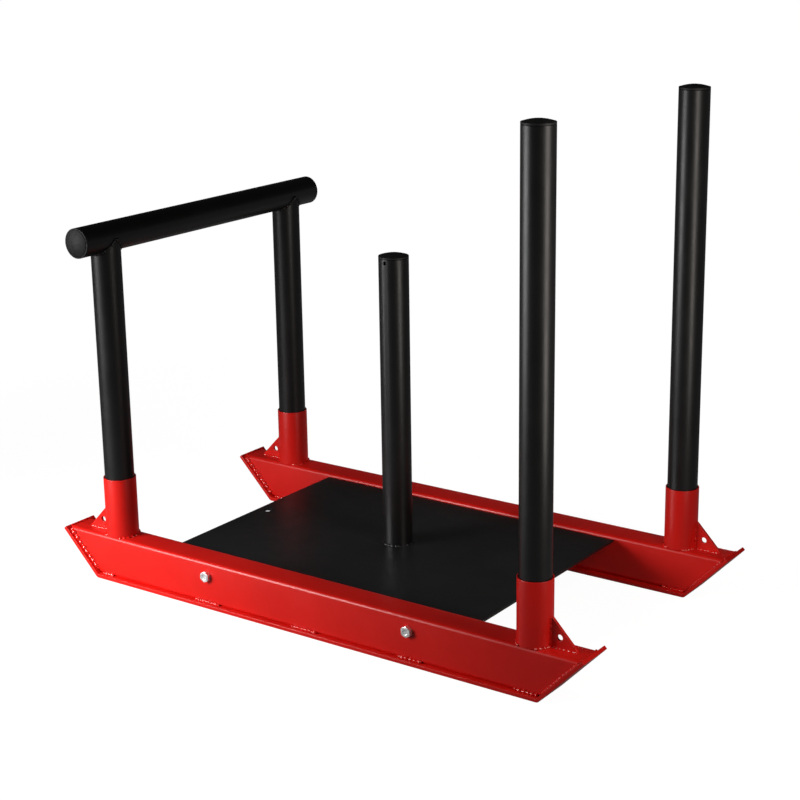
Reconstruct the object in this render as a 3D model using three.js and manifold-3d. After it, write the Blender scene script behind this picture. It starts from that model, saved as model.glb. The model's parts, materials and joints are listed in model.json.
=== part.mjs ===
// Push sled: two steel runners joined by a bolted deck. Three posts and a push handle stand on it.
// Millimetres, +Z up, floor at Z 0. +X points to the end with the tall posts, -Y to the near runner.
import * as THREE from "three";
import { mergeVertices } from "three/addons/utils/BufferGeometryUtils.js";
import Module from "manifold-3d";

const wasm = await Module();
wasm.setup();

// Layout of the posts
const postSpacingX = 800;
const postSpacingY = 454;

// Runner tube, a rectangular steel section
const railWidth = 50;
const railHeight = 70;
const railWall = 3;
const railCornerRadius = 6;

// Skid plate, a strip bent up at both ends to close the runner tube
const plateThickness = 6;
const plateOverhang = 8;
const plateBendInnerRadius = 2;
const frontBendX = 424;
const rearBendX = 434;
const frontLipLength = 107;
const rearLipLength = 102;
const lipAngleDegrees = 46;

// Round tube of the posts and of the handle, sized to pass a plate with a 50 mm bore
const tubeDiameter = 48.3;
const tubeWall = 3;
const tubeChamfer = 0.8;
const tallPostLength = 732.5;
const weightPostLength = 475;
const weightPostHoleDiameter = 6;
const weightPostHoleDepth = 5.5;

// Sockets that the posts drop into
const socketClearance = 0.6;
const socketWall = 2;
const socketHeight = 100;
const socketChamfer = 0.6;

// Push handle
const crossbarAxisHeight = 576;
const crossbarLength = 574;

// Plugs in the tube ends
const capRimHeight = 3.2;
const capDomeRise = 4;
const capPlugDepth = 14;
const capPlugWall = 2;

// Gusset behind each socket, with a strap hole
const gussetThickness = 5;
const gussetFoot = 70;
const gussetHeight = 45;
const gussetNose = 2.5;
const gussetHoleDiameter = 9.5;
const gussetHoleReach = 41.5;
const gussetHoleHeight = 16.5;

// Deck, one sheet folded down at both sides, with the folds ending short of its front and rear edges
const deckThickness = 4;
const deckBelowRailTop = 4.5;
const deckRearX = 295;
const deckFrontX = 292;
const deckFlangeDepth = 42;
const deckFlangeSetback = 66;
const deckBendInnerRadius = 2;
const deckHoleDiameter = 14;
const deckHoleInset = 18.5;

// Bolts that hold the deck to the runners
const boltSpacingX = 392;
const boltBelowRailTop = 24;
const boltDiameter = 10;
const boltLength = 65;
const boltHeadAcrossFlats = 16;
const boltHeadHeight = 6.4;
const boltHoleClearance = 0.5;
const threadClearance = 0.3;
const nutHeight = 8;
const washerDiameter = 20;
const washerThickness = 2;

// Joint gap where two pieces meet on a slanted, curved or folded face
const seatGap = 0.3;
const cutOverrun = 5;

// Smoothness of the round shapes
const roundSides = 36;
const smallRoundSides = 20;
const cornerSteps = 4;
const hexSides = 6;

// Worked out from the sizes above
const lipAngle = THREE.MathUtils.degToRad(lipAngleDegrees);
const quarterTurn = Math.PI / 2;
const postX = postSpacingX / 2;
const runnerY = postSpacingY / 2;
const tubeRadius = tubeDiameter / 2;
const tubeInnerRadius = tubeRadius - tubeWall;
const socketInnerRadius = tubeRadius + socketClearance;
const socketRadius = socketInnerRadius + socketWall;
const railTop = plateThickness + railHeight;
const plateBendRadius = plateBendInnerRadius + plateThickness;
const deckTop = railTop - deckBelowRailTop;
const deckSideY = runnerY - railWidth / 2 - seatGap;
const boltZ = railTop - boltBelowRailTop;
const boltX = boltSpacingX / 2;
const frontReach = frontBendX + frontLipLength * Math.cos(lipAngle);
const rearReach = rearBendX + rearLipLength * Math.cos(lipAngle);

const sides = { near: -1, far: 1 };
const ends = { rear: -1, front: 1 };

const redPaint = new THREE.MeshStandardMaterial({ color: 0xb51a12, roughness: 0.3, metalness: 0.1 });
const blackPaint = new THREE.MeshStandardMaterial({ color: 0x0c0c0d, roughness: 0.42, metalness: 0.1 });
const blackPlastic = new THREE.MeshStandardMaterial({ color: 0x141414, roughness: 0.5, metalness: 0 });
const zinc = new THREE.MeshStandardMaterial({ color: 0xc9ccd0, roughness: 0.3, metalness: 1 });

// Turns a drawing in X and Z, thickened from Y 0 to minus Y, out of three.js's own X, Y and Z
const drawnInXZ = new THREE.Matrix4().set(1, 0, 0, 0, 0, 0, -1, 0, 0, 1, 0, 0, 0, 0, 0, 1);
// Turns a drawing in Y and Z, lengthened along X
const drawnInYZ = new THREE.Matrix4().set(0, 0, 1, 0, 1, 0, 0, 0, 0, 1, 0, 0, 0, 0, 0, 1);

function toSolid(geometry) {
  const bare = new THREE.BufferGeometry();
  bare.setAttribute("position", geometry.getAttribute("position"));
  bare.setIndex(geometry.getIndex());
  const merged = mergeVertices(bare);
  const vertProperties = new Float32Array(merged.getAttribute("position").array);
  const triVerts = new Uint32Array(merged.getIndex().array);
  return new wasm.Manifold(new wasm.Mesh({ numProp: 3, vertProperties, triVerts }));
}

function toGeometry(solid) {
  const { vertProperties, triVerts } = solid.getMesh();
  const indexed = new THREE.BufferGeometry();
  indexed.setAttribute("position", new THREE.BufferAttribute(vertProperties, 3));
  indexed.setIndex(new THREE.BufferAttribute(triVerts, 1));
  const geometry = indexed.toNonIndexed();
  geometry.computeVertexNormals();
  return geometry;
}

function cutAll(geometry, cutters) {
  let solid = toSolid(geometry);
  for (const cutter of cutters) solid = solid.subtract(toSolid(cutter));
  return toGeometry(solid);
}

function place(name, geometry, material, x, y, z) {
  const mesh = new THREE.Mesh(geometry, material);
  mesh.name = name;
  mesh.position.set(x, y, z);
  return mesh;
}

// A plate drawn in X and Z, centred on Y 0
function plateInXZ(shape, thickness) {
  const options = { depth: thickness, bevelEnabled: false, curveSegments: cornerSteps };
  const geometry = new THREE.ExtrudeGeometry(shape, options);
  return geometry.applyMatrix4(drawnInXZ).translate(0, thickness / 2, 0);
}

// A rod along Y, used to cut round holes
function rodAlongY(radius, length, x, y, z) {
  const geometry = new THREE.CylinderGeometry(radius, radius, length, smallRoundSides);
  return geometry.translate(x, y, z);
}

function roundedRectangle(path, centreY, width, bottom, top, radius) {
  const left = centreY - width / 2;
  const right = centreY + width / 2;
  path.moveTo(left + radius, bottom);
  path.lineTo(right - radius, bottom);
  path.absarc(right - radius, bottom + radius, radius, -quarterTurn, 0, false);
  path.lineTo(right, top - radius);
  path.absarc(right - radius, top - radius, radius, 0, quarterTurn, false);
  path.lineTo(left + radius, top);
  path.absarc(left + radius, top - radius, radius, quarterTurn, Math.PI, false);
  path.lineTo(left, bottom + radius);
  path.absarc(left + radius, bottom + radius, radius, Math.PI, Math.PI + quarterTurn, false);
  return path;
}

// Where the runner tube ends at a height, short of the skid plate's slanted inner face and its bend
function railEnd(bendX, z) {
  const innerBendX = bendX - plateThickness * Math.tan(lipAngle / 2);
  const setback = plateBendInnerRadius * Math.tan(lipAngle / 2) + seatGap / Math.sin(lipAngle);
  return innerBendX + (z - plateThickness) / Math.tan(lipAngle) - setback;
}

function railGeometry(centreY) {
  const outline = new THREE.Shape();
  const shape = roundedRectangle(outline, centreY, railWidth, plateThickness, railTop, railCornerRadius);
  const hollow = roundedRectangle(
    new THREE.Path(),
    centreY,
    railWidth - 2 * railWall,
    plateThickness + railWall,
    railTop - railWall,
    railCornerRadius - railWall
  );
  shape.holes.push(hollow);
  const options = { depth: 1, bevelEnabled: false, curveSegments: cornerSteps };
  const geometry = new THREE.ExtrudeGeometry(shape, options).applyMatrix4(drawnInYZ);
  const position = geometry.getAttribute("position");
  for (let i = 0; i < position.count; i += 1) {
    const atFront = position.getX(i) > 1 / 2;
    const z = position.getZ(i);
    position.setX(i, atFront ? railEnd(frontBendX, z) : -railEnd(rearBendX, z));
  }
  const holeRadius = boltDiameter / 2 + boltHoleClearance;
  const holeLength = railWidth + cutOverrun;
  const cutters = [-boltX, boltX].map((x) => rodAlongY(holeRadius, holeLength, x, centreY, boltZ));
  return cutAll(geometry, cutters);
}

function skidPlateGeometry() {
  const along = new THREE.Vector2(Math.cos(lipAngle), Math.sin(lipAngle));
  const inward = new THREE.Vector2(-along.y, along.x).multiplyScalar(plateThickness);
  const tangent = plateBendRadius * Math.tan(lipAngle / 2);
  const frontTip = along.clone().multiplyScalar(frontLipLength);
  const rearTip = along.clone().multiplyScalar(rearLipLength);
  const frontCentreX = frontBendX - tangent;
  const rearCentreX = tangent - rearBendX;
  const down = -quarterTurn;
  const shape = new THREE.Shape();
  shape.moveTo(-rearBendX - rearTip.x - inward.x, rearTip.y + inward.y);
  shape.lineTo(-rearBendX - rearTip.x, rearTip.y);
  shape.absarc(rearCentreX, plateBendRadius, plateBendRadius, down - lipAngle, down, false);
  shape.absarc(frontCentreX, plateBendRadius, plateBendRadius, down, down + lipAngle, false);
  shape.lineTo(frontBendX + frontTip.x, frontTip.y);
  shape.lineTo(frontBendX + frontTip.x + inward.x, frontTip.y + inward.y);
  shape.absarc(frontCentreX, plateBendRadius, plateBendInnerRadius, down + lipAngle, down, true);
  shape.absarc(rearCentreX, plateBendRadius, plateBendInnerRadius, down, down - lipAngle, true);
  shape.closePath();
  return plateInXZ(shape, railWidth + 2 * plateOverhang);
}

// An upright round tube from a bottom height to a top height, with its top edges broken
function tubeGeometry(outerRadius, innerRadius, bottom, top, chamfer) {
  const profile = [
    new THREE.Vector2(innerRadius, bottom),
    new THREE.Vector2(outerRadius, bottom),
    new THREE.Vector2(outerRadius, top - chamfer),
    new THREE.Vector2(outerRadius - chamfer, top),
    new THREE.Vector2(innerRadius, top),
    new THREE.Vector2(innerRadius, bottom),
  ];
  return new THREE.LatheGeometry(profile, roundSides).rotateX(quarterTurn);
}

function gussetGeometry(direction) {
  const inner = direction * (socketRadius + seatGap);
  const toe = direction * gussetFoot;
  const headX = direction * (socketRadius + seatGap + gussetNose);
  const shape = new THREE.Shape();
  shape.moveTo(inner, railTop);
  shape.lineTo(toe, railTop);
  shape.lineTo(toe, railTop + gussetNose);
  shape.lineTo(headX, railTop + gussetHeight);
  shape.lineTo(inner, railTop + gussetHeight);
  shape.closePath();
  const geometry = plateInXZ(shape, gussetThickness);
  const holeX = direction * gussetHoleReach;
  const holeZ = railTop + gussetHoleHeight;
  const holeLength = gussetThickness + cutOverrun;
  return cutAll(geometry, [rodAlongY(gussetHoleDiameter / 2, holeLength, holeX, 0, holeZ)]);
}

// The boxes that take the folded sides away near the front and rear edges of the deck
function deckCornerCutters(bend) {
  const length = deckFlangeSetback + cutOverrun;
  const width = bend + cutOverrun;
  const height = deckFlangeDepth - deckThickness + cutOverrun;
  const cutters = [];
  for (const [edgeX, inwards] of [[-deckRearX, 1], [deckFrontX, -1]]) {
    for (const sign of Object.values(sides)) {
      const x = edgeX + inwards * (length / 2 - cutOverrun);
      const y = sign * (deckSideY - bend + width / 2);
      const z = deckTop - deckThickness - height / 2;
      cutters.push(new THREE.BoxGeometry(length, width, height).translate(x, y, z));
    }
  }
  return cutters;
}

function deckGeometry() {
  const bend = deckBendInnerRadius + deckThickness;
  const innerY = deckSideY - deckThickness;
  const hem = deckTop - deckFlangeDepth;
  const shape = new THREE.Shape();
  shape.moveTo(-deckSideY, hem);
  shape.lineTo(-innerY, hem);
  shape.absarc(bend - deckSideY, deckTop - bend, deckBendInnerRadius, Math.PI, quarterTurn, true);
  shape.absarc(deckSideY - bend, deckTop - bend, deckBendInnerRadius, quarterTurn, 0, true);
  shape.lineTo(innerY, hem);
  shape.lineTo(deckSideY, hem);
  shape.absarc(deckSideY - bend, deckTop - bend, bend, 0, quarterTurn, false);
  shape.absarc(bend - deckSideY, deckTop - bend, bend, quarterTurn, Math.PI, false);
  shape.closePath();
  const options = { depth: deckRearX + deckFrontX, bevelEnabled: false, curveSegments: cornerSteps };
  const sheet = new THREE.ExtrudeGeometry(shape, options);
  sheet.applyMatrix4(drawnInYZ).translate(-deckRearX, 0, 0);
  const cutters = [deckHoleInset - deckRearX, deckFrontX - deckHoleInset].map((x) => {
    const radius = deckHoleDiameter / 2;
    const length = deckThickness + cutOverrun;
    const rod = new THREE.CylinderGeometry(radius, radius, length, smallRoundSides);
    return rod.rotateX(quarterTurn).translate(x, 0, deckTop - deckThickness / 2);
  });
  const boltHoleRadius = boltDiameter / 2 + boltHoleClearance;
  for (const x of [-boltX, boltX]) {
    for (const y of [-deckSideY, deckSideY]) {
      cutters.push(rodAlongY(boltHoleRadius, 2 * deckThickness + cutOverrun, x, y, boltZ));
    }
  }
  cutters.push(...deckCornerCutters(bend));
  return cutAll(sheet, cutters);
}

// A plug for a tube end, with the tube's rim at Z 0 and the domed head above it
function capGeometry() {
  const plugRadius = tubeInnerRadius - seatGap;
  const domeRadius = (tubeRadius ** 2 + capDomeRise ** 2) / (2 * capDomeRise);
  const domeCentreZ = capRimHeight + capDomeRise - domeRadius;
  const domeAngle = Math.asin(tubeRadius / domeRadius);
  const profile = [
    new THREE.Vector2(0, seatGap),
    new THREE.Vector2(plugRadius - capPlugWall, seatGap),
    new THREE.Vector2(plugRadius - capPlugWall, -capPlugDepth),
    new THREE.Vector2(plugRadius, -capPlugDepth),
    new THREE.Vector2(plugRadius, seatGap),
    new THREE.Vector2(tubeRadius, seatGap),
  ];
  for (let step = 0; step < cornerSteps; step += 1) {
    const turn = domeAngle * (1 - step / cornerSteps);
    const z = domeCentreZ + domeRadius * Math.cos(turn);
    profile.push(new THREE.Vector2(domeRadius * Math.sin(turn), z));
  }
  profile.push(new THREE.Vector2(0, capRimHeight + capDomeRise));
  return new THREE.LatheGeometry(profile, roundSides).rotateX(quarterTurn);
}

function weightPostGeometry() {
  const top = deckTop + weightPostLength;
  const tube = tubeGeometry(tubeRadius, tubeInnerRadius, deckTop, top, tubeChamfer);
  const holeRadius = weightPostHoleDiameter / 2;
  const middleY = -tubeRadius + tubeWall / 2;
  const rod = rodAlongY(holeRadius, tubeWall + cutOverrun, 0, middleY, top - weightPostHoleDepth);
  return cutAll(tube, [rod]);
}

// A handle upright, its top end hollowed to meet the crossbar
function uprightGeometry() {
  const tube = tubeGeometry(tubeRadius, tubeInnerRadius, railTop, crossbarAxisHeight, 0);
  const radius = tubeRadius + seatGap;
  const cutter = new THREE.CylinderGeometry(radius, radius, tubeDiameter + cutOverrun, roundSides);
  return cutAll(tube, [cutter.translate(0, 0, crossbarAxisHeight)]);
}

function polygon(radius, count) {
  const points = [];
  for (let corner = 0; corner < count; corner += 1) {
    const turn = quarterTurn + (2 * Math.PI * corner) / count;
    points.push(new THREE.Vector2(radius * Math.cos(turn), radius * Math.sin(turn)));
  }
  return new THREE.Shape(points);
}

function hexagon(acrossFlats) {
  return polygon(acrossFlats / Math.sqrt(3), hexSides);
}

// A bolt along Y with the underside of its head at Y 0 and its tip at positive Y
function boltGeometry() {
  const head = plateInXZ(hexagon(boltHeadAcrossFlats), boltHeadHeight).translate(0, -boltHeadHeight / 2, 0);
  const rooted = boltLength + boltHeadHeight / 2;
  const shank = rodAlongY(boltDiameter / 2, rooted, 0, boltLength - rooted / 2, 0);
  return toGeometry(toSolid(head).add(toSolid(shank)));
}

function ringGeometry(outline, holeRadius, thickness) {
  const solid = toSolid(plateInXZ(outline, thickness));
  return toGeometry(solid.subtract(toSolid(rodAlongY(holeRadius, thickness + cutOverrun, 0, 0, 0))));
}

function addRunner(parent, side) {
  const y = sides[side] * runnerY;
  parent.add(place(`${side}_rail`, railGeometry(y), redPaint, 0, 0, 0));
  parent.add(place(`${side}_skid_plate`, skidPlateGeometry(), redPaint, 0, y, 0));
  for (const end of Object.keys(ends)) {
    const x = ends[end] * postX;
    const socketTop = railTop + socketHeight;
    const socket = tubeGeometry(socketRadius, socketInnerRadius, railTop, socketTop, socketChamfer);
    parent.add(place(`${side}_${end}_socket`, socket, redPaint, x, y, 0));
    parent.add(place(`${side}_${end}_gusset`, gussetGeometry(ends[end]), redPaint, x, y, 0));
  }
}

function addFasteners(parent, side) {
  const sign = sides[side];
  const headY = sign * (runnerY + railWidth / 2);
  const washerY = sign * (deckSideY - deckThickness - washerThickness / 2);
  const nutY = sign * (deckSideY - deckThickness - washerThickness - nutHeight / 2);
  const threadHoleRadius = boltDiameter / 2 + threadClearance;
  for (const end of Object.keys(ends)) {
    const x = ends[end] * boltX;
    const bolt = place(`${side}_${end}_bolt`, boltGeometry(), zinc, x, headY, boltZ);
    bolt.rotation.z = sign > 0 ? Math.PI : 0;
    const washerOutline = polygon(washerDiameter / 2, smallRoundSides);
    const washerShape = ringGeometry(washerOutline, threadHoleRadius, washerThickness);
    const nutShape = ringGeometry(hexagon(boltHeadAcrossFlats), threadHoleRadius, nutHeight);
    parent.add(bolt);
    parent.add(place(`${side}_${end}_washer`, washerShape, zinc, x, washerY, boltZ));
    parent.add(place(`${side}_${end}_nut`, nutShape, zinc, x, nutY, boltZ));
  }
}

function addWeightPost(parent) {
  parent.add(place("weight_post", weightPostGeometry(), blackPaint, 0, 0, 0));
  parent.add(place("weight_post_cap", capGeometry(), blackPlastic, 0, 0, deckTop + weightPostLength));
}

function makeTallPost(side) {
  const post = new THREE.Group();
  const top = railTop + tallPostLength;
  const tube = tubeGeometry(tubeRadius, tubeInnerRadius, railTop, top, tubeChamfer);
  post.add(place(`${side}_front_post`, tube, blackPaint, 0, 0, 0));
  post.add(place(`${side}_front_post_cap`, capGeometry(), blackPlastic, 0, 0, top));
  post.position.set(postX, sides[side] * runnerY, 0);
  return post;
}

function makeHandle() {
  const handle = new THREE.Group();
  const halfBar = crossbarLength / 2;
  const bar = tubeGeometry(tubeRadius, tubeInnerRadius, -halfBar, halfBar, 0).rotateX(-quarterTurn);
  handle.add(place("handle_crossbar", bar, blackPaint, 0, 0, crossbarAxisHeight));
  for (const side of Object.keys(sides)) {
    const sign = sides[side];
    handle.add(place(`${side}_handle_upright`, uprightGeometry(), blackPaint, 0, sign * runnerY, 0));
    const plugY = sign * halfBar;
    const plug = place(`${side}_handle_plug`, capGeometry(), blackPlastic, 0, plugY, crossbarAxisHeight);
    plug.rotation.x = -sign * quarterTurn;
    handle.add(plug);
  }
  handle.position.set(-postX, 0, 0);
  return handle;
}

const sled = new THREE.Group();
for (const side of Object.keys(sides)) {
  addRunner(sled, side);
  addFasteners(sled, side);
  sled.add(makeTallPost(side));
}
sled.add(place("deck", deckGeometry(), blackPaint, 0, 0, 0));
addWeightPost(sled);
sled.add(makeHandle());

// The rear lips reach further than the front ones, so the middle of the whole sled is brought to X 0
sled.position.x = (rearReach - frontReach) / 2;

export default sled;
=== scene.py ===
"""Push sled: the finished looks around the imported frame.

Metres, +Z up, floor at Z 0. +X points to the end with the tall posts, -Y to the near runner.
"""
import json
import math
import random

import bmesh
import bpy
from mathutils import Matrix, Vector


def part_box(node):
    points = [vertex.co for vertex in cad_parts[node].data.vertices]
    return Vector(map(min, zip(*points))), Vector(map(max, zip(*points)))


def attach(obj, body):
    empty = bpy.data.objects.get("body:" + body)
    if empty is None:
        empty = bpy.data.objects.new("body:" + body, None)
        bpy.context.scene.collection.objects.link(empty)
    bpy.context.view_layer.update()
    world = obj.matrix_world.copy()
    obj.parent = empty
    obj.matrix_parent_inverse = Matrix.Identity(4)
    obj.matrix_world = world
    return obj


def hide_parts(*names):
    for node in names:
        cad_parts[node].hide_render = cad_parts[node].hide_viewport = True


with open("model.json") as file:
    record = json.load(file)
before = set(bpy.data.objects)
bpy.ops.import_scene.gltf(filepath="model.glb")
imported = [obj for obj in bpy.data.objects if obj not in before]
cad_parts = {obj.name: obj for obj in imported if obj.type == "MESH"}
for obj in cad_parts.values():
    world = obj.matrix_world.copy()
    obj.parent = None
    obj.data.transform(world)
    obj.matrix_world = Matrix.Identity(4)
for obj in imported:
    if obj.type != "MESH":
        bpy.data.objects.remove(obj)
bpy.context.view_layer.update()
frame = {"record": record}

MM = 0.001
TINY = 1e-6
QUARTER = math.pi / 2
random.seed(7)

# Smoothness of the round shapes
ROUND_SIDES = 96
ROD_SIDES = 48
CORNER_STEPS = 6
DOME_STEPS = 12
SMOOTH_ANGLE = math.radians(38)
HEX_SMOOTH_ANGLE = math.radians(28)
BEAD_SMOOTH_ANGLE = math.radians(70)

# Sizes of the sheet and tube stock
RAIL_WALL = 3 * MM
RAIL_CORNER = 6 * MM
PLATE_THICKNESS = 6 * MM
PLATE_BEND_INNER = 2 * MM
LIP_ANGLE = math.radians(46)
FRONT_BEND_REACH = 424 * MM
REAR_BEND_REACH = 434 * MM
FRONT_LIP = 107 * MM
REAR_LIP = 102 * MM
TUBE_WALL = 3 * MM
TUBE_RIM_ROUND = 0.8 * MM
SOCKET_WALL = 2 * MM
SOCKET_RIM_ROUND = 0.7 * MM
DECK_THICKNESS = 4 * MM
DECK_BEND_INNER = 2 * MM
DECK_FOLD_SETBACK = 66 * MM
SEAT_GAP = 0.3 * MM
SHEET_EDGE_ROUND = 0.7 * MM
DECK_EDGE_ROUND = 0.5 * MM

# Holes
DECK_HOLE_RADIUS = 7 * MM
DECK_HOLE_INSET = 18.5 * MM
BOLT_HOLE_RADIUS = 5.5 * MM
GUSSET_HOLE_RADIUS = 4.75 * MM
GUSSET_HOLE_REACH = 41.5 * MM
GUSSET_HOLE_HEIGHT = 16.5 * MM
GUSSET_NOSE = 2.5 * MM
POST_HOLE_RADIUS = 3 * MM
POST_HOLE_DEPTH = 5.5 * MM

# Plugs in the tube ends
CAP_RIM_HEIGHT = 3.2 * MM
CAP_RIM_ROUND = 0.6 * MM
CAP_LAND_WIDTH = 2 * MM
CAP_STEP = 0.5 * MM
CAP_DOME_RISE = 4 * MM
CAP_PLUG_DEPTH = 14 * MM
CAP_PLUG_WALL = 2 * MM

# Bolts, M10
HEAD_FLATS = 16 * MM
HEAD_HEIGHT = 6.4 * MM
HEAD_DISH_RADIUS = 4.6 * MM
HEAD_DISH_DEPTH = 0.7 * MM
NUT_HEIGHT = 8 * MM
BOLT_RADIUS = 5 * MM
BOLT_LENGTH = 65 * MM
THREAD_LENGTH = 30 * MM
THREAD_PITCH = 1.5 * MM
THREAD_DEPTH = 0.8 * MM
THREAD_GAP = 0.3 * MM
HEX_STEP = math.pi / 3
HEX_CHAMFER = math.radians(30)
HEX_FACE_RADIUS = HEAD_FLATS / 2 * 0.96
DISH_FLOOR_SHARE = 0.8
WASHER_EDGE_SHARE = 0.125
THREAD_STEPS = 6

# Weld beads: their own steps, and the spacing, depth and unevenness of their ripples
BEAD_SIDES = 10
BEAD_STEP = 0.9 * MM
BEAD_MIN_STEPS = 6
BEAD_RIPPLE = 7.5 * MM
BEAD_DEEP_SHARE = 0.45
RIPPLE_SIZES = (0.8, 1.15)
RIPPLE_SPACINGS = (0.75, 1.25)

SIDES = {"near": -1, "far": 1}
ENDS = {"rear": -1, "front": 1}


def middle(node):
    low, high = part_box(node)
    return (low + high) / 2


# Places read from the frame
POST_X = {end: middle(f"near_{end}_socket").x for end in ENDS}
RUNNER_Y = {side: middle(f"{side}_rail").y for side in SIDES}
RAIL_LOW, RAIL_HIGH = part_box("near_rail")
RAIL_TOP = RAIL_HIGH.z
RAIL_WIDTH = RAIL_HIGH.y - RAIL_LOW.y
PLATE_LOW, PLATE_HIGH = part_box("near_skid_plate")
PLATE_WIDTH = PLATE_HIGH.y - PLATE_LOW.y
SOCKET_LOW, SOCKET_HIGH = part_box("near_rear_socket")
SOCKET_RADIUS = (SOCKET_HIGH.y - SOCKET_LOW.y) / 2
SOCKET_TOP = SOCKET_HIGH.z
TUBE_LOW, TUBE_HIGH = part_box("near_front_post")
TUBE_RADIUS = (TUBE_HIGH.y - TUBE_LOW.y) / 2
BAR_LOW, BAR_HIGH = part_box("handle_crossbar")
BAR_Z = (BAR_LOW.z + BAR_HIGH.z) / 2
DECK_LOW, DECK_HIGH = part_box("deck")
BOLT_X = {end: middle(f"near_{end}_bolt").x for end in ENDS}
BOLT_Z = middle("near_rear_washer").z
FRAME_X = (POST_X["front"] + POST_X["rear"]) / 2
BODY_OF = {
    node: body
    for body, nodes in frame["record"]["behaviour"]["bodies"].items()
    for node in nodes
}


# Meshes

def link(name, verts, faces):
    """A new object from points and faces, with its normals facing out."""
    mesh = bpy.data.meshes.new(name)
    mesh.from_pydata([tuple(v) for v in verts], [], faces)
    model = bmesh.new()
    model.from_mesh(mesh)
    bmesh.ops.recalc_face_normals(model, faces=model.faces)
    model.to_mesh(mesh)
    model.free()
    piece = bpy.data.objects.new(name, mesh)
    bpy.context.scene.collection.objects.link(piece)
    return piece


def bake_modifiers(piece):
    """Replaces the piece's mesh by its mesh with every modifier applied."""
    graph = bpy.context.evaluated_depsgraph_get()
    done = bpy.data.meshes.new_from_object(piece.evaluated_get(graph))
    piece.modifiers.clear()
    piece.data = done


def smooth(piece, angle=SMOOTH_ANGLE):
    piece.data.shade_smooth()
    piece.data.set_sharp_from_angle(angle=angle)


def round_edges(piece, width, segments=3):
    """Rounds the sharp edges and keeps the flat faces flat in the light."""
    bevel = piece.modifiers.new("bevel", "BEVEL")
    bevel.width = width
    bevel.segments = segments
    bevel.limit_method = "ANGLE"
    bevel.angle_limit = SMOOTH_ANGLE
    bake_modifiers(piece)
    smooth(piece)
    weigh = piece.modifiers.new("weigh", "WEIGHTED_NORMAL")
    weigh.keep_sharp = True
    bake_modifiers(piece)


def cut(piece, cutters):
    """Takes the cutters away from the piece and deletes them."""
    for cutter in cutters:
        boolean = piece.modifiers.new("cut", "BOOLEAN")
        boolean.operation = "DIFFERENCE"
        boolean.solver = "EXACT"
        boolean.object = cutter
    bake_modifiers(piece)
    for cutter in cutters:
        bpy.data.objects.remove(cutter)


def bridge(low, high):
    """Faces between two rings of point numbers; a ring of one point makes a fan."""
    count = max(len(low), len(high))
    faces = []
    for side in range(count):
        corners = [low[side % len(low)], low[(side + 1) % len(low)]]
        corners += [high[(side + 1) % len(high)], high[side % len(high)]]
        faces.append(tuple(dict.fromkeys(corners)))
    return faces


def loft(rings, closed):
    """Points and faces of a skin over rings; closed also joins the last ring to the first."""
    verts = []
    numbers = []
    for ring in rings:
        numbers.append(list(range(len(verts), len(verts) + len(ring))))
        verts += ring
    faces = []
    for low, high in zip(numbers, numbers[1:]):
        faces += bridge(low, high)
    if closed:
        faces += bridge(numbers[-1], numbers[0])
    return verts, faces


def circle(radius, height, sides=ROUND_SIDES):
    if radius < TINY:
        return [Vector((0, 0, height))]
    turns = [math.tau * side / sides for side in range(sides)]
    return [Vector((radius * math.cos(t), radius * math.sin(t), height)) for t in turns]


def turned(name, profile, closed, sides=ROUND_SIDES):
    """A shape turned about Z from a profile of (radius, height)."""
    rings = [circle(radius, height, sides) for radius, height in profile]
    return link(name, *loft(rings, closed))


def move(piece, place, turn=None):
    """Moves the mesh itself, after an optional turn."""
    matrix = Matrix.Translation(Vector(place))
    if turn is not None:
        matrix = matrix @ turn
    piece.data.transform(matrix)
    return piece


def arc(centre, radius, start, end, steps=CORNER_STEPS):
    """Points of an arc about a centre, both ends included."""
    turns = [start + (end - start) * step / steps for step in range(steps + 1)]
    return [(centre[0] + radius * math.cos(t), centre[1] + radius * math.sin(t)) for t in turns]


def prism(name, outline, start, end, placed):
    """An outline of (u, v) lengthened from start to end; placed(u, v, w) gives the point."""
    rings = [[Vector(placed(u, v, w)) for u, v in outline] for w in (start, end)]
    verts, faces = loft(rings, False)
    count = len(outline)
    faces += [tuple(range(count)), tuple(range(count, 2 * count))]
    return link(name, verts, faces)


def along_y(u, v, w):
    return (u, w, v)


def along_x(u, v, w):
    return (w, u, v)


def rod(radius, start, end, turn):
    """A cutter for round holes."""
    profile = [(0, start), (radius, start), (radius, end), (0, end)]
    return move(turned("cutter", profile, False, ROD_SIDES), (0, 0, 0), turn)


def block(low, high):
    """A cutter box between two corners."""
    outline = [(low.y, low.z), (high.y, low.z), (high.y, high.z), (low.y, high.z)]
    return prism("cutter", outline, low.x, high.x, along_x)


TO_Y = Matrix.Rotation(-QUARTER, 4, "X")
TO_MINUS_Y = Matrix.Rotation(QUARTER, 4, "X")


def stand_for(piece, node, material):
    """The piece takes the place of a CAD node, rides on its body and wears the material."""
    piece.data.materials.clear()
    piece.data.materials.append(material)
    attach(piece, BODY_OF[node])
    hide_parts(node)


# Materials

# Noise is (features per metre, detail) or (features per metre, detail, roughness)
PAINT_PATCHES = (9, 4)
PAINT_WEAR = (26, 5, 0.6)
PATCH_SPAN = (0.35, 0.65)
WEAR_SPAN = (0.3, 0.7)
# The orange peel of paint has small features, and wider ones this many times their size
PEEL_WIDER = 6

RED_COLOURS = ((0.68, 0.009, 0.0055), (0.76, 0.012, 0.0075))
BLACK_COLOURS = ((0.0035, 0.0035, 0.0037), (0.0055, 0.0055, 0.0058))
DECK_COLOURS = ((0.012, 0.012, 0.0125), (0.016, 0.016, 0.0165))
PLASTIC_COLOURS = ((0.012, 0.012, 0.0125), (0.019, 0.019, 0.02))
ZINC_COLOURS = ((0.84, 0.85, 0.87), (0.93, 0.93, 0.92))


def new_material(name):
    material = bpy.data.materials.new(name)
    material.use_nodes = True
    return material, material.node_tree, material.node_tree.nodes["Principled BSDF"]


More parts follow.
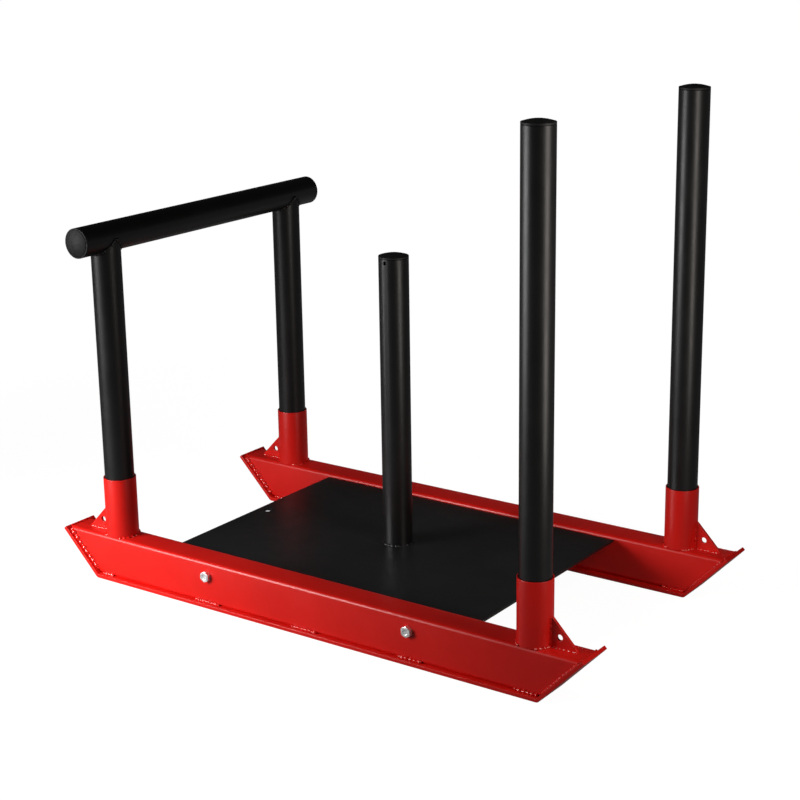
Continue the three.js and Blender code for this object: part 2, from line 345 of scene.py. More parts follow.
def noise(tree, scale, detail, roughness=0.5):
    """Noise over the object's own place."""
    where = tree.nodes.new("ShaderNodeTexCoord")
    texture = tree.nodes.new("ShaderNodeTexNoise")
    texture.inputs["Scale"].default_value = scale
    texture.inputs["Detail"].default_value = detail
    texture.inputs["Roughness"].default_value = roughness
    tree.links.new(where.outputs["Object"], texture.inputs["Vector"])
    return texture.outputs["Fac"]


def map_range(tree, value, span, to_span):
    """Maps one span of a value to another span."""
    ranged = tree.nodes.new("ShaderNodeMapRange")
    ranged.inputs["From Min"].default_value = span[0]
    ranged.inputs["From Max"].default_value = span[1]
    ranged.inputs["To Min"].default_value = to_span[0]
    ranged.inputs["To Max"].default_value = to_span[1]
    tree.links.new(value, ranged.inputs["Value"])
    return ranged.outputs["Result"]


def blend_colours(tree, share, first, second):
    blend = tree.nodes.new("ShaderNodeMix")
    blend.data_type = "RGBA"
    blend.inputs["A"].default_value = (*first, 1)
    blend.inputs["B"].default_value = (*second, 1)
    tree.links.new(share, blend.inputs["Factor"])
    return blend.outputs["Result"]


def add_bumps(tree, heights):
    """A normal with bumps added up, each a (value, depth in metres)."""
    normal = None
    for value, depth in heights:
        node = tree.nodes.new("ShaderNodeBump")
        node.inputs["Strength"].default_value = 1
        node.inputs["Distance"].default_value = depth
        tree.links.new(value, node.inputs["Height"])
        if normal is not None:
            tree.links.new(normal, node.inputs["Normal"])
        normal = node.outputs["Normal"]
    return normal


def surface(name, colours, patches, rough, wear, bumps):
    """Two colours in soft patches, uneven roughness and fine bumps, each a (noise, depth)."""
    material, tree, shader = new_material(name)
    share = map_range(tree, noise(tree, *patches), PATCH_SPAN, (0, 1))
    tree.links.new(blend_colours(tree, share, *colours), shader.inputs["Base Color"])
    uneven = map_range(tree, noise(tree, *wear), WEAR_SPAN, rough)
    tree.links.new(uneven, shader.inputs["Roughness"])
    heights = [(noise(tree, *grain), depth) for grain, depth in bumps]
    tree.links.new(add_bumps(tree, heights), shader.inputs["Normal"])
    return material, shader


def painted(name, colours, rough, grain, depth, level):
    """Sprayed paint with a fine orange peel of a number of features per metre and a depth."""
    peel = [((grain, 3), depth), ((grain / PEEL_WIDER, 2), 2 * depth)]
    material, shader = surface(name, colours, PAINT_PATCHES, rough, PAINT_WEAR, peel)
    shader.inputs["Specular IOR Level"].default_value = level
    return material


def moulded_plastic():
    grain = [((1400, 2), 0.03 * MM)]
    colours = PLASTIC_COLOURS
    material, shader = surface("black_plastic", colours, (60, 3), (0.46, 0.58), (90, 4), grain)
    shader.inputs["Specular IOR Level"].default_value = 0.3
    return material


def plated_zinc():
    pits = [((900, 3), 0.02 * MM)]
    colours = ZINC_COLOURS
    material, shader = surface("zinc", colours, (160, 4, 0.65), (0.4, 0.56), (320, 4), pits)
    shader.inputs["Metallic"].default_value = 1
    return material


RED = painted("red_paint", RED_COLOURS, (0.29, 0.36), 420, 0.01 * MM, 0.4)
RED_WELD = painted("red_weld_paint", RED_COLOURS, (0.14, 0.2), 420, 0.01 * MM, 0.9)
BLACK = painted("black_paint", BLACK_COLOURS, (0.34, 0.42), 900, 0.02 * MM, 0.5)
DECK_BLACK = painted("deck_black_paint", DECK_COLOURS, (0.3, 0.4), 700, 0.03 * MM, 0.5)
PLASTIC = moulded_plastic()
ZINC = plated_zinc()


# Runners

def rounded_section(width, low, high, corner):
    """A rounded rectangle of (y, z), centred on y 0."""
    half = width / 2
    corners = [
        ((half - corner, low + corner), -QUARTER),
        ((half - corner, high - corner), 0),
        ((corner - half, high - corner), QUARTER),
        ((corner - half, low + corner), math.pi),
    ]
    points = []
    for centre, start in corners:
        points += arc(centre, corner, start, start + QUARTER)
    return points


def rail_end(bend_reach, z):
    """Where the runner tube ends at a height, against the slanted inner face of the lip."""
    inner_bend = bend_reach - PLATE_THICKNESS * math.tan(LIP_ANGLE / 2)
    setback = PLATE_BEND_INNER * math.tan(LIP_ANGLE / 2) + SEAT_GAP / math.sin(LIP_ANGLE)
    return inner_bend + (z - PLATE_THICKNESS) / math.tan(LIP_ANGLE) - setback


def make_rail(side):
    outer = rounded_section(RAIL_WIDTH, PLATE_THICKNESS, RAIL_TOP, RAIL_CORNER)
    inner_width = RAIL_WIDTH - 2 * RAIL_WALL
    inner_low = PLATE_THICKNESS + RAIL_WALL
    inner = rounded_section(inner_width, inner_low, RAIL_TOP - RAIL_WALL, RAIL_CORNER - RAIL_WALL)

    def ring(section, bend_reach, direction):
        points = []
        for y, z in section:
            x = FRAME_X + direction * rail_end(bend_reach, z)
            points.append(Vector((x, RUNNER_Y[side] + y, z)))
        return points

    rings = [
        ring(outer, REAR_BEND_REACH, -1),
        ring(outer, FRONT_BEND_REACH, 1),
        ring(inner, FRONT_BEND_REACH, 1),
        ring(inner, REAR_BEND_REACH, -1),
    ]
    piece = link(f"{side}_rail_painted", *loft(rings, True))
    smooth(piece)
    stand_for(piece, f"{side}_rail", RED)


def plate_outline():
    """The bent strip seen from the near side, as (x, z)."""
    along = Vector((math.cos(LIP_ANGLE), math.sin(LIP_ANGLE)))
    inward = Vector((-along.y, along.x)) * PLATE_THICKNESS
    outer = PLATE_BEND_INNER + PLATE_THICKNESS
    tangent = outer * math.tan(LIP_ANGLE / 2)
    front_tip = along * FRONT_LIP
    rear_tip = along * REAR_LIP
    front_centre = (FRONT_BEND_REACH - tangent, outer)
    rear_centre = (tangent - REAR_BEND_REACH, outer)
    down = -QUARTER
    points = [(-REAR_BEND_REACH - rear_tip.x - inward.x, rear_tip.y + inward.y)]
    points += [(-REAR_BEND_REACH - rear_tip.x, rear_tip.y)]
    points += arc(rear_centre, outer, down - LIP_ANGLE, down)
    points += arc(front_centre, outer, down, down + LIP_ANGLE)
    points += [(FRONT_BEND_REACH + front_tip.x, front_tip.y)]
    points += [(FRONT_BEND_REACH + front_tip.x + inward.x, front_tip.y + inward.y)]
    points += arc(front_centre, PLATE_BEND_INNER, down + LIP_ANGLE, down)
    points += arc(rear_centre, PLATE_BEND_INNER, down, down - LIP_ANGLE)
    return [(FRAME_X + x, z) for x, z in points]


def make_skid_plate(side):
    y0 = RUNNER_Y[side]
    half = PLATE_WIDTH / 2
    piece = prism(f"{side}_skid_plate_painted", plate_outline(), y0 - half, y0 + half, along_y)
    round_edges(piece, SHEET_EDGE_ROUND)
    stand_for(piece, f"{side}_skid_plate", RED)


def tube_profile(outer, inner, bottom, top, rim):
    """A tube wall with its top edges rounded."""
    points = [(inner, bottom), (outer, bottom)]
    points += arc((outer - rim, top - rim), rim, 0, QUARTER, 3)
    points += arc((inner + rim, top - rim), rim, QUARTER, math.pi, 3)
    return points


def make_socket(side, end):
    inner = SOCKET_RADIUS - SOCKET_WALL
    profile = tube_profile(SOCKET_RADIUS, inner, RAIL_TOP, SOCKET_TOP, SOCKET_RIM_ROUND)
    piece = turned(f"{side}_{end}_socket_painted", profile, True)
    move(piece, (POST_X[end], RUNNER_Y[side], 0))
    smooth(piece)
    stand_for(piece, f"{side}_{end}_socket", RED)


def make_gusset(side, end):
    direction = ENDS[end]
    low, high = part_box(f"{side}_{end}_gusset")
    inner = SOCKET_RADIUS + SEAT_GAP / 3
    toe = max(abs(low.x - POST_X[end]), abs(high.x - POST_X[end]))
    outline = [(inner, RAIL_TOP), (toe, RAIL_TOP), (toe, RAIL_TOP + GUSSET_NOSE)]
    outline += [(inner + GUSSET_NOSE, high.z), (inner, high.z)]
    placed = [(POST_X[end] + direction * x, z) for x, z in outline]
    piece = prism(f"{side}_{end}_gusset_painted", placed, low.y, high.y, along_y)
    over = 4 * SHEET_EDGE_ROUND
    hole = rod(GUSSET_HOLE_RADIUS, low.y - over, high.y + over, TO_Y)
    move(hole, (POST_X[end] + direction * GUSSET_HOLE_REACH, 0, RAIL_TOP + GUSSET_HOLE_HEIGHT))
    cut(piece, [hole])
    round_edges(piece, SHEET_EDGE_ROUND)
    stand_for(piece, f"{side}_{end}_gusset", RED)


# Weld beads

def resample(path, step):
    """Points along a path at even steps."""
    lengths = [0]
    for a, b in zip(path, path[1:]):
        lengths.append(lengths[-1] + (b - a).length)
    count = max(BEAD_MIN_STEPS, round(lengths[-1] / step))
    points = []
    piece = 0
    for number in range(count + 1):
        at = lengths[-1] * number / count
        while piece < len(path) - 2 and lengths[piece + 1] < at:
            piece += 1
        share = (at - lengths[piece]) / max(lengths[piece + 1] - lengths[piece], TINY)
        points.append(path[piece].lerp(path[piece + 1], share))
    return points, lengths[-1]


class Beads:
    """Weld beads gathered in one mesh."""

    def __init__(self):
        self.verts = []
        self.faces = []

    def add(self, path, radius, ripple=BEAD_RIPPLE):
        """One bead along a path, with scalloped ripples and rounded ends."""
        points, length = resample(path, BEAD_STEP)
        crests = ripple_crests(length, ripple)
        across = (points[1] - points[0]).orthogonal()
        rings = []
        for number, point in enumerate(points):
            before = points[max(number - 1, 0)]
            after = points[min(number + 1, len(points) - 1)]
            forward = (after - before).normalized()
            across = (across - forward * across.dot(forward)).normalized()
            up = forward.cross(across)
            at = length * number / (len(points) - 1)
            crest, size = min(crests, key=lambda pair: abs(pair[0] - at))
            fall = min(abs(at - crest) / (ripple / 2), 1)
            thick = radius * size * (1 - BEAD_DEEP_SHARE * fall * fall)
            rounding = min(at, length - at) / radius
            if rounding < 1:
                thick *= math.sqrt(max(1 - (1 - rounding) ** 2, 0))
            if thick < TINY:
                rings.append([point])
                continue
            turns = [math.tau * corner / BEAD_SIDES for corner in range(BEAD_SIDES)]
            rings.append([point + (across * math.cos(t) + up * math.sin(t)) * thick for t in turns])
        verts, faces = loft(rings, False)
        offset = len(self.verts)
        self.verts += verts
        self.faces += [tuple(number + offset for number in face) for face in faces]

    def finish(self, name, body, material):
        piece = link(name, self.verts, self.faces)
        smooth(piece, BEAD_SMOOTH_ANGLE)
        piece.data.materials.append(material)
        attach(piece, body)


def ripple_crests(length, ripple):
    """The ripples of a bead, each as its place along the bead and its share of the full size."""
    crests = []
    at = random.uniform(-0.5, 0.5) * ripple
    while at < length + ripple:
        crests.append((at, random.uniform(*RIPPLE_SIZES)))
        at += ripple * random.uniform(*RIPPLE_SPACINGS)
    return crests


# Middles and lengths of the stitches between runner and skid plate, measured from the middle
STITCH_PLACES = [-415 * MM, -197 * MM, 0, 199 * MM, 400 * MM]
STITCH_LENGTHS = [26 * MM, 52 * MM, 50 * MM, 44 * MM, 40 * MM]
SEAM_RADIUS = {"rear": 4.6 * MM, "front": 2 * MM}
SEAM_RIPPLE = {"rear": 9.5 * MM, "front": 7.5 * MM}
HANDLE_SEAM_RADIUS = 3 * MM
STITCH_RADIUS = 2.8 * MM
FOOT_RADIUS = 2.4 * MM
UPRIGHT_RADIUS = 1.9 * MM
RING_RADIUS = 2.8 * MM
RING_HALF_ANGLE = math.radians(62)
RING_STEPS = 24


def lip_point(end, z, y):
    """A point where the runner tube meets the lip, at a height."""
    reach = FRONT_BEND_REACH if end == "front" else REAR_BEND_REACH
    return Vector((FRAME_X + ENDS[end] * rail_end(reach, z), y, z))


def weld_runner(side):
    """The seams that the paint pooled on, and the smoother ones, as two meshes."""
    glossy = Beads()
    plain = Beads()
    y0 = RUNNER_Y[side]
    half = RAIL_WIDTH / 2
    for face in (-1, 1):
        y = y0 + face * half
        for place, length in zip(STITCH_PLACES, STITCH_LENGTHS):
            start = Vector((FRAME_X + place - length / 2, y, PLATE_THICKNESS + RAIL_CORNER / 4))
            glossy.add([start, start + Vector((length, 0, 0))], STITCH_RADIUS)
        for end in ENDS:
            low = lip_point(end, PLATE_THICKNESS + RAIL_CORNER, y)
            high = lip_point(end, RAIL_TOP - RAIL_CORNER / 2, y)
            seam = glossy if end == "rear" else plain
            seam.add([low, high], SEAM_RADIUS[end], SEAM_RIPPLE[end])
    for end, direction in ENDS.items():
        left = lip_point(end, RAIL_TOP, y0 - half + RAIL_CORNER / 2)
        right = lip_point(end, RAIL_TOP, y0 + half - RAIL_CORNER / 2)
        plain.add([left, right], SEAM_RADIUS["front"])
        centre = Vector((POST_X[end], y0, RAIL_TOP))
        for start in (0, math.pi):
            shares = [2 * step / RING_STEPS - 1 for step in range(RING_STEPS + 1)]
            turns = [start + RING_HALF_ANGLE * share for share in shares]
            ring = [centre + SOCKET_RADIUS * Vector((math.cos(t), math.sin(t), 0)) for t in turns]
            glossy.add(ring, RING_RADIUS)
        low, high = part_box(f"{side}_{end}_gusset")
        toe = low.x if direction < 0 else high.x
        for y in (low.y, high.y):
            foot = Vector((POST_X[end] + direction * (SOCKET_RADIUS + FOOT_RADIUS), y, RAIL_TOP))
            glossy.add([foot, Vector((toe, y, RAIL_TOP))], FOOT_RADIUS)
            foot_x = POST_X[end] + direction * SOCKET_RADIUS
            plain.add([Vector((foot_x, y, RAIL_TOP)), Vector((foot_x, y, high.z))], UPRIGHT_RADIUS)
    glossy.finish(f"{side}_runner_welds", "base_frame", RED_WELD)
    plain.finish(f"{side}_runner_smooth_welds", "base_frame", RED)


# Deck and its fasteners

def deck_outline():
    """The folded sheet seen from the end, as (y, z)."""
    bend = DECK_BEND_INNER + DECK_THICKNESS
    side = DECK_HIGH.y
    inner = side - DECK_THICKNESS
    top = DECK_HIGH.z
    points = [(-side, DECK_LOW.z), (-inner, DECK_LOW.z)]
    points += arc((bend - side, top - bend), DECK_BEND_INNER, math.pi, QUARTER)
    points += arc((side - bend, top - bend), DECK_BEND_INNER, QUARTER, 0)
    points += [(inner, DECK_LOW.z), (side, DECK_LOW.z)]
    points += arc((side - bend, top - bend), bend, 0, QUARTER)
    points += arc((bend - side, top - bend), bend, QUARTER, math.pi)
    return points


def corner_cutters():
    """The boxes that take the folded sides away near the deck's front and rear edges."""
    fold = DECK_BEND_INNER + DECK_THICKNESS
    over = DECK_THICKNESS
    bottom = DECK_LOW.z - over
    top = DECK_HIGH.z - DECK_THICKNESS
    spans_x = [(DECK_LOW.x - over, DECK_LOW.x + DECK_FOLD_SETBACK)]
    spans_x += [(DECK_HIGH.x - DECK_FOLD_SETBACK, DECK_HIGH.x + over)]
    spans_y = [(DECK_LOW.y - over, DECK_LOW.y + fold), (DECK_HIGH.y - fold, DECK_HIGH.y + over)]
    cutters = []
    for low_x, high_x in spans_x:
        for low_y, high_y in spans_y:
            cutters.append(block(Vector((low_x, low_y, bottom)), Vector((high_x, high_y, top))))
    return cutters


def make_deck():
    piece = prism("deck_painted", deck_outline(), DECK_LOW.x, DECK_HIGH.x, along_x)
    cutters = []
    for x in (DECK_LOW.x + DECK_HOLE_INSET, DECK_HIGH.x - DECK_HOLE_INSET):
        hole = rod(DECK_HOLE_RADIUS, -2 * DECK_THICKNESS, 2 * DECK_THICKNESS, Matrix.Identity(4))
        cutters.append(move(hole, (x, 0, DECK_HIGH.z)))
    for x in BOLT_X.values():
        for y in (DECK_LOW.y, DECK_HIGH.y):
            hole = rod(BOLT_HOLE_RADIUS, -2 * DECK_THICKNESS, 2 * DECK_THICKNESS, TO_Y)
            cutters.append(move(hole, (x, y, BOLT_Z)))
    cut(piece, cutters + corner_cutters())
    round_edges(piece, DECK_EDGE_ROUND, 2)
    stand_for(piece, "deck", DECK_BLACK)


def hex_ring(height, fall):
    """A ring round a hexagon; fall is how steeply its corners drop below the height."""
    ring = []
    for side in range(ROUND_SIDES):
        turn = math.tau * side / ROUND_SIDES
        off_flat = (turn + HEX_STEP / 2) % HEX_STEP - HEX_STEP / 2
        radius = HEAD_FLATS / 2 / math.cos(off_flat)
        drop = (radius - HEX_FACE_RADIUS) * fall
        ring.append(Vector((radius * math.cos(turn), radius * math.sin(turn), height - drop)))
    return ring


def make_bolt(side, end):
    """A hex bolt, head up and the underside of the head at height 0, then laid along Y."""
    slope = math.tan(HEX_CHAMFER)
    dish_bottom = HEAD_HEIGHT - HEAD_DISH_DEPTH
    thread_top = THREAD_LENGTH - BOLT_LENGTH
    rings = [circle(0, -BOLT_LENGTH), circle(BOLT_RADIUS - THREAD_DEPTH, -BOLT_LENGTH)]
    rings += thread_rings(BOLT_RADIUS, -BOLT_LENGTH + THREAD_DEPTH, thread_top)
    rings += [circle(BOLT_RADIUS, thread_top + THREAD_DEPTH), circle(BOLT_RADIUS, 0)]
    rings += [hex_ring(0, 0), hex_ring(HEAD_HEIGHT, slope)]
    rings += [circle(HEX_FACE_RADIUS, HEAD_HEIGHT), circle(HEAD_DISH_RADIUS, HEAD_HEIGHT)]
    rings += [circle(HEAD_DISH_RADIUS * DISH_FLOOR_SHARE, dish_bottom), circle(0, dish_bottom)]
    piece = link(f"{side}_{end}_bolt_plated", *loft(rings, False))
    head_y = RUNNER_Y[side] + SIDES[side] * RAIL_WIDTH / 2
    move(piece, (BOLT_X[end], head_y, BOLT_Z), TO_MINUS_Y if side == "near" else TO_Y)
    smooth(piece, HEX_SMOOTH_ANGLE)
    stand_for(piece, f"{side}_{end}_bolt", ZINC)


def thread_rings(radius, bottom, top):
    """Rings of a screw thread that fades out at both ends."""
    count = round((top - bottom) / THREAD_PITCH * THREAD_STEPS)
    rings = []
    for number in range(count + 1):
        height = bottom + (top - bottom) * number / count
        ease = min((height - bottom) / THREAD_PITCH, (top - height) / THREAD_PITCH, 1)
        ring = []
        for side in range(ROUND_SIDES):
            turn = math.tau * side / ROUND_SIDES
            phase = (height / THREAD_PITCH - turn / math.tau) % 1
            reach = radius - THREAD_DEPTH * abs(2 * phase - 1) * ease
            ring.append(Vector((reach * math.cos(turn), reach * math.sin(turn), height)))
        rings.append(ring)
    return rings


def make_nut(side, end):
    hole = BOLT_RADIUS + THREAD_GAP
    slope = math.tan(HEX_CHAMFER)
    rings = [circle(HEX_FACE_RADIUS, 0), hex_ring(0, -slope)]
    rings += [hex_ring(NUT_HEIGHT, slope), circle(HEX_FACE_RADIUS, NUT_HEIGHT)]
    rings += [circle(hole + THREAD_DEPTH, NUT_HEIGHT), circle(hole, NUT_HEIGHT - THREAD_DEPTH)]
    rings += [circle(hole, THREAD_DEPTH), circle(hole + THREAD_DEPTH, 0)]
    piece = link(f"{side}_{end}_nut_plated", *loft(rings, True))
    low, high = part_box(f"{side}_{end}_nut")
    outer_y = low.y if side == "near" else high.y
    move(piece, (BOLT_X[end], outer_y, BOLT_Z), TO_Y if side == "near" else TO_MINUS_Y)
    smooth(piece, HEX_SMOOTH_ANGLE)
    stand_for(piece, f"{side}_{end}_nut", ZINC)


def make_washer(side, end):
    low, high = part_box(f"{side}_{end}_washer")
    thickness = high.y - low.y
    outer = (high.z - low.z) / 2
    inner = BOLT_RADIUS + THREAD_GAP
    edge = thickness * WASHER_EDGE_SHARE
    profile = [(inner, 0), (outer - edge, 0), (outer, edge), (outer, thickness - edge)]
    profile += [(outer - edge, thickness), (inner, thickness)]
    piece = turned(f"{side}_{end}_washer_plated", profile, True)
    move(piece, (BOLT_X[end], low.y, BOLT_Z), TO_Y)
    smooth(piece, HEX_SMOOTH_ANGLE)
    stand_for(piece, f"{side}_{end}_washer", ZINC)


# Posts, handle and plugs

def cap_profile():
    """A plug with the tube's rim at height 0; its head has a narrow land round a dome."""
    plug = TUBE_RADIUS - TUBE_WALL - SEAT_GAP
    round_centre = (TUBE_RADIUS - CAP_RIM_ROUND, CAP_RIM_HEIGHT - CAP_RIM_ROUND)
    dome_foot = TUBE_RADIUS - CAP_LAND_WIDTH - CAP_STEP
    dome_low = CAP_RIM_HEIGHT + CAP_STEP
    hollow = plug - CAP_PLUG_WALL
    points = [(0, SEAT_GAP), (hollow, SEAT_GAP), (hollow, -CAP_PLUG_DEPTH)]
    points += [(plug, -CAP_PLUG_DEPTH), (plug, SEAT_GAP), (TUBE_RADIUS, SEAT_GAP)]
    points += arc(round_centre, CAP_RIM_ROUND, 0, QUARTER, 4)
    points.append((TUBE_RADIUS - CAP_LAND_WIDTH, CAP_RIM_HEIGHT))
    for step in range(DOME_STEPS + 1):
        share = 1 - step / DOME_STEPS
        rise = (CAP_DOME_RISE - CAP_STEP) * (1 - share ** 2)
        points.append((dome_foot * share, dome_low + rise))
    return points


def make_cap(node, place, turn):
    piece = turned(f"{node}_moulded", cap_profile(), False)
    move(piece, place, turn)
    smooth(piece)
    stand_for(piece, node, PLASTIC)


def make_tall_post(side):
    low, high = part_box(f"{side}_front_post")
    inner = TUBE_RADIUS - TUBE_WALL
    profile = tube_profile(TUBE_RADIUS, inner, low.z, high.z, TUBE_RIM_ROUND)
    piece = turned(f"{side}_front_post_painted", profile, True)
    move(piece, (POST_X["front"], RUNNER_Y[side], 0))
    smooth(piece)
    stand_for(piece, f"{side}_front_post", BLACK)
    cap_place = (POST_X["front"], RUNNER_Y[side], high.z)
    make_cap(f"{side}_front_post_cap", cap_place, Matrix.Identity(4))


def make_weight_post():
    low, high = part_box("weight_post")
    centre = (low + high) / 2
    inner = TUBE_RADIUS - TUBE_WALL
    profile = tube_profile(TUBE_RADIUS, inner, low.z, high.z, TUBE_RIM_ROUND)
    piece = turned("weight_post_painted", profile, True)
    hole = rod(POST_HOLE_RADIUS, -TUBE_RADIUS - TUBE_WALL, -inner + TUBE_WALL, TO_Y)
    move(hole, (0, 0, high.z - POST_HOLE_DEPTH))
    cut(piece, [hole])
    move(piece, (centre.x, 0, 0))
    smooth(piece)
    stand_for(piece, "weight_post", BLACK)
    make_cap("weight_post_cap", (centre.x, 0, high.z), Matrix.Identity(4))
    beads = Beads()
    beads.add([p + Vector((centre.x, 0, low.z)) for p in closed_circle(TUBE_RADIUS)], FOOT_RADIUS)
    beads.finish("weight_post_weld", "base_frame", BLACK)


def closed_circle(radius):
    ring = circle(radius, 0)
    return ring + ring[:1]


def saddle_height(x):
    """How high an upright's wall reaches under the crossbar at a distance from its axis."""
    return BAR_Z - math.sqrt(max(TUBE_RADIUS ** 2 - x ** 2, 0))


def make_handle():
    inner = TUBE_RADIUS - TUBE_WALL
    half = (BAR_HIGH.y - BAR_LOW.y) / 2
    rim = TUBE_RIM_ROUND / 2
    profile = tube_profile(TUBE_RADIUS, inner, -half, half, rim)
    profile = [(inner, -half + rim), (inner + rim, -half), (TUBE_RADIUS - rim, -half)] + profile[1:]
    profile[3] = (TUBE_RADIUS, -half + rim)
    bar = turned("handle_crossbar_painted", profile, True)
    move(bar, (POST_X["rear"], 0, BAR_Z), TO_Y)
    smooth(bar)
    stand_for(bar, "handle_crossbar", BLACK)
    walls = [(TUBE_RADIUS, False), (TUBE_RADIUS, True), (inner, True), (inner, False)]
    for side, sign in SIDES.items():
        rings = []
        for radius, top in walls:
            ring = circle(radius, RAIL_TOP)
            if top:
                ring = [Vector((p.x, p.y, saddle_height(p.x))) for p in ring]
            rings.append(ring)
        upright = link(f"{side}_handle_upright_painted", *loft(rings, True))
        move(upright, (POST_X["rear"], RUNNER_Y[side], 0))
        smooth(upright)
        stand_for(upright, f"{side}_handle_upright", BLACK)
        beads = Beads()
        base = Vector((POST_X["rear"], RUNNER_Y[side], 0))
        path = [base + Vector((p.x, p.y, saddle_height(p.x))) for p in closed_circle(TUBE_RADIUS)]
        beads.add(path, HANDLE_SEAM_RADIUS)
        beads.finish(f"{side}_handle_weld", "push_handle", BLACK)
        turn = TO_Y if sign > 0 else TO_MINUS_Y
        make_cap(f"{side}_handle_plug", (POST_X["rear"], sign * half, BAR_Z), turn)


for runner in SIDES:
    make_rail(runner)
    make_skid_plate(runner)
    for sled_end in ENDS:
        make_socket(runner, sled_end)
        make_gusset(runner, sled_end)
        make_bolt(runner, sled_end)
        make_nut(runner, sled_end)
        make_washer(runner, sled_end)
    weld_runner(runner)
    make_tall_post(runner)
make_deck()
make_weight_post()
make_handle()


# Stage

FLOOR_HALF = 30
FLOOR_COLOUR = 0.14
# How white the floor shows to each kind of ray, and how much less near the sled, for its shadow
FLOOR_GLOW = {"Is Camera Ray": 1.0, "Is Glossy Ray": 0.1, "Is Transmission Ray": 1.0}
FLOOR_NEAR_SHARE = 0.96
FLOOR_FADE = (0.7, 1.7)
AMBIENT = 0.02
WORLD_GLOW = {"Is Camera Ray": 1.0, "Is Transmission Ray": 1.0}
# What glossy rays see of the world is grey at the horizon and dark overhead, by sines of the height
WORLD_GLOSSY = (0.15, 0.0)
WORLD_GLOSSY_FADE = (math.sin(math.radians(2)), math.sin(math.radians(8)))


def add_glow(tree, total, kind, glow):
    """Adds a glow, a number or a socket, that only one kind of ray sees."""
    paths = tree.nodes.new("ShaderNodeLightPath")
    add = tree.nodes.new("ShaderNodeMath")
    add.operation = "MULTIPLY_ADD"
    tree.links.new(paths.outputs[kind], add.inputs[0])
    for value, socket in ((glow, add.inputs[1]), (total, add.inputs[2])):
        if isinstance(value, float):
            socket.default_value = value
        else:
            tree.links.new(value, socket)
    return add.outputs[0]


def product(tree, first, second):
    node = tree.nodes.new("ShaderNodeMath")
    node.operation = "MULTIPLY"
    tree.links.new(first, node.inputs[0])
    tree.links.new(second, node.inputs[1])
    return node.outputs[0]


def make_floor():
    corners = [(-FLOOR_HALF, -FLOOR_HALF, 0), (FLOOR_HALF, -FLOOR_HALF, 0)]
    corners += [(FLOOR_HALF, FLOOR_HALF, 0), (-FLOOR_HALF, FLOOR_HALF, 0)]
    floor = link("floor", corners, [(0, 1, 2, 3)])
    material, tree, shader = new_material("floor")
    shader.inputs["Base Color"].default_value = (FLOOR_COLOUR, FLOOR_COLOUR, FLOOR_COLOUR, 1)
    shader.inputs["Roughness"].default_value = 1
    shader.inputs["Specular IOR Level"].default_value = 0
    shader.inputs["Emission Color"].default_value = (1, 1, 1, 1)
    where = tree.nodes.new("ShaderNodeTexCoord")
    away = tree.nodes.new("ShaderNodeVectorMath")
    away.operation = "LENGTH"
    tree.links.new(where.outputs["Object"], away.inputs[0])
    share = map_range(tree, away.outputs["Value"], FLOOR_FADE, (FLOOR_NEAR_SHARE, 1))
    total = 0.0
    for kind, glow in FLOOR_GLOW.items():
        total = add_glow(tree, total, kind, glow)
    tree.links.new(product(tree, total, share), shader.inputs["Emission Strength"])
    floor.data.materials.append(material)


def make_world():
    world = bpy.data.worlds.new("studio")
    bpy.context.scene.world = world
    world.use_nodes = True
    tree = world.node_tree
    background = tree.nodes["Background"]
    background.inputs["Color"].default_value = (1, 1, 1, 1)
    where = tree.nodes.new("ShaderNodeTexCoord")
    height = tree.nodes.new("ShaderNodeSeparateXYZ")
    tree.links.new(where.outputs["Generated"], height.inputs["Vector"])
    reflected = map_range(tree, height.outputs["Z"], WORLD_GLOSSY_FADE, WORLD_GLOSSY)
    total = add_glow(tree, AMBIENT, "Is Glossy Ray", reflected)
    for kind, glow in WORLD_GLOW.items():
        total = add_glow(tree, total, kind, glow)
    tree.links.new(total, background.inputs["Strength"])


WHITE = (1, 1, 1)
WARM = (1, 0.93, 0.86)
# The back lamp only lights the far side, so it stays out of reflections
LAMPS = [
    {"name": "key", "place": (-0.73, -1.05, 0.42), "aim": (-0.5, -0.45, 0), "size": (0.5, 0.5),
     "power": 2.95, "colour": WHITE, "spread": 70, "reflected": True},
    {"name": "left", "place": (-0.95, -1.3, 0.7), "aim": (0.42, -0.35, 0.45), "size": (0.9, 1.0),
     "power": 4.3, "colour": WHITE, "spread": 84, "reflected": True},
    {"name": "right", "place": (1.0, -0.22, 0.7), "aim": (0.3, -0.1, 0.55), "size": (0.25, 1.0),
     "power": 4, "colour": WARM, "spread": 180, "reflected": True},
    {"name": "back", "place": (-0.3, 1.9, 0.3), "aim": (0, 0.25, 0.04), "size": (1.6, 0.3),
     "power": 3, "colour": WHITE, "spread": 50, "reflected": False},
]


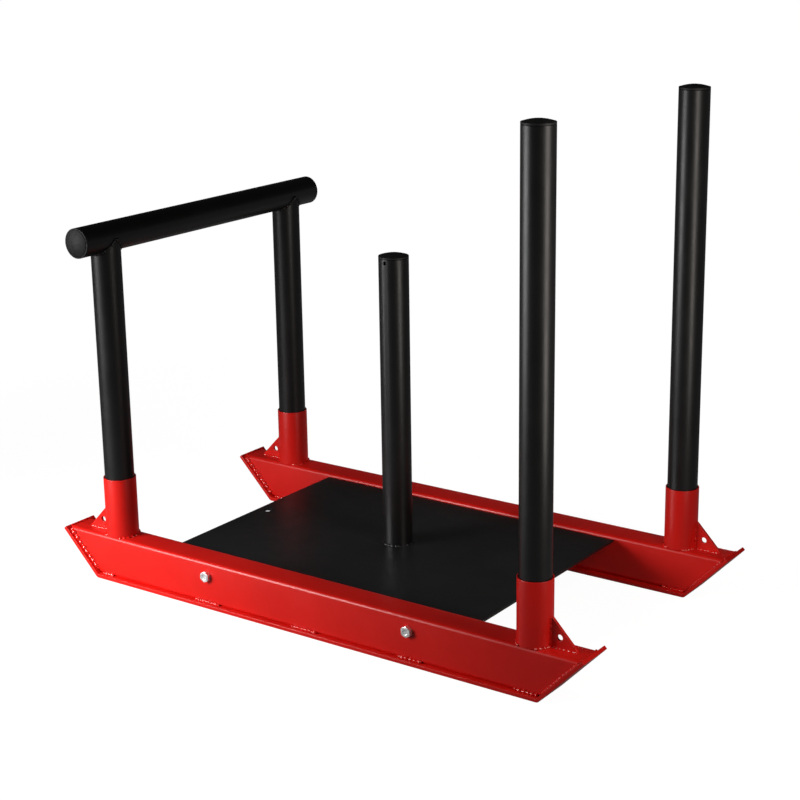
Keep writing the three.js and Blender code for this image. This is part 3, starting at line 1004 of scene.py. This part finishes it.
def soft_light(name, place, aim, size, power, colour, spread, reflected):
    """A lamp with a size in metres, a power in watts and a spread in degrees."""
    data = bpy.data.lights.new(name, "AREA")
    data.shape = "RECTANGLE"
    data.size, data.size_y = size
    data.energy = power
    data.color = colour
    data.spread = math.radians(spread)
    lamp = bpy.data.objects.new(name, data)
    bpy.context.scene.collection.objects.link(lamp)
    lamp.location = place
    direction = Vector(aim) - Vector(place)
    lamp.rotation_euler = direction.to_track_quat("-Z", "Y").to_euler()
    lamp.visible_camera = False
    lamp.visible_glossy = reflected


# The camera, solved from the photo's edges
CAMERA_PLACE = Vector((1603.36, -2221.01, 1118.90)) * MM
CAMERA_AZIMUTH = math.radians(34.827)
CAMERA_ELEVATION = math.radians(16.171)
CAMERA_ROLL = math.radians(-0.665)
IMAGE_SIZE = 800
FOCAL_PIXELS = 1777.89
PRINCIPAL_X = 423.82
PRINCIPAL_Y = 392.46
SENSOR = 36


def make_camera():
    data = bpy.data.cameras.new("camera")
    data.sensor_fit = "HORIZONTAL"
    data.sensor_width = SENSOR
    data.lens = FOCAL_PIXELS * SENSOR / IMAGE_SIZE
    data.shift_x = (IMAGE_SIZE / 2 - PRINCIPAL_X) / IMAGE_SIZE
    data.shift_y = (PRINCIPAL_Y - IMAGE_SIZE / 2) / IMAGE_SIZE
    camera = bpy.data.objects.new("camera", data)
    bpy.context.scene.collection.objects.link(camera)
    level = math.cos(CAMERA_ELEVATION)
    right = Vector((math.cos(CAMERA_AZIMUTH), math.sin(CAMERA_AZIMUTH), 0))
    back = Vector((right.y * level, -right.x * level, math.sin(CAMERA_ELEVATION)))
    up = back.cross(right)
    rolled_right = math.cos(CAMERA_ROLL) * right + math.sin(CAMERA_ROLL) * up
    rolled_up = math.cos(CAMERA_ROLL) * up - math.sin(CAMERA_ROLL) * right
    axes = Matrix((rolled_right, rolled_up, back)).transposed()
    camera.matrix_world = Matrix.Translation(CAMERA_PLACE) @ axes.to_4x4()
    bpy.context.scene.camera = camera


make_camera()
make_floor()
make_world()
for lamp_values in LAMPS:
    soft_light(**lamp_values)

bpy.context.scene.view_settings.view_transform = "Standard"
